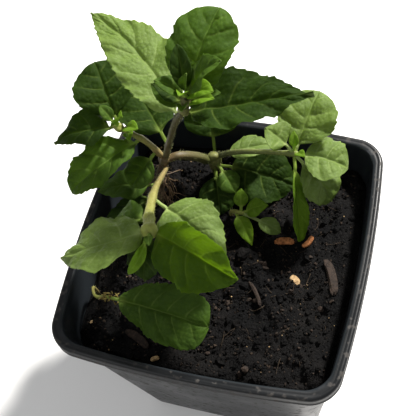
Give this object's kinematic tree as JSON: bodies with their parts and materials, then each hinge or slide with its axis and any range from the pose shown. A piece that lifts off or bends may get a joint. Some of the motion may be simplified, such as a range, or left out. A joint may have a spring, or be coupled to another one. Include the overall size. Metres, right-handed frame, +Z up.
{
  "type": "potted mint plant",
  "caption": "Young mint plant with toothed oval leaves on branching stems, rooted in dark soil in a square black plastic nursery pot.",
  "frame": {"origin": "middle of the pot's underside, on the surface that the pot stands on", "axes": "+Z up the pot; the square pot's sides face +X, -X, +Y and -Y, and -Y is the front"},
  "size_m": [0.1037, 0.0952, 0.1579],
  "materials": {
    "pot": "satin black moulded plastic, lightly scuffed and dusty",
    "soil": "moist crumbly compost",
    "bark": "fibrous bark",
    "seed": "pale and dry",
    "stem_green": "soft, finely hairy",
    "stem_purple": "soft, finely hairy",
    "stem_woody": "dry and fibrous",
    "leaf": "satin, quilted by its veins",
    "leaf_young": "satin, soft"
  },
  "bodies": {
    "root": {"pot": "pot", "soil": "soil", "bark_chip_long": "bark", "bark_chip_small": "bark", "bark_chip_round": "bark", "bark_stick": "bark", "bark_slab": "bark", "bark_chip_left": "bark", "pale_chip": "seed", "pale_seed": "seed", "centre_stem": "stem_green", "runner_stem": "stem_purple", "crown_stem": "stem_purple", "left_stem": "stem_green", "front_stem": "stem_green", "right_stem": "stem_purple", "sprout_stem": "stem_green", "root_stem": "stem_woody", "ground_stem": "stem_green", "crown_leaf_left": "leaf", "crown_leaf_right": "leaf", "crown_leaf_back": "leaf", "crown_young_right": "leaf_young", "crown_young_left": "leaf_young", "left_leaf_round": "leaf", "left_leaf_back": "leaf", "left_leaf_end": "leaf", "left_leaf_front": "leaf", "left_leaf_low": "leaf", "front_leaf_left": "leaf", "front_leaf_right": "leaf", "ground_leaf": "leaf", "front_leaf_side": "leaf", "front_leaf_back": "leaf", "front_young": "leaf_young", "right_leaf_top": "leaf", "right_leaf_small": "leaf", "right_leaf_end": "leaf", "right_leaf_low": "leaf", "right_leaf_hanging": "leaf", "centre_leaf_back": "leaf", "centre_leaf_pale": "leaf", "centre_leaf_shaded": "leaf", "centre_leaf_front": "leaf", "centre_young": "leaf_young", "sprout_leaf_back": "leaf_young", "sprout_leaf_end": "leaf_young", "sprout_leaf_side": "leaf_young", "sprout_leaf_low": "leaf_young", "low_leaf_back": "leaf", "low_leaf_front": "leaf"}
  },
  "joints": []
}
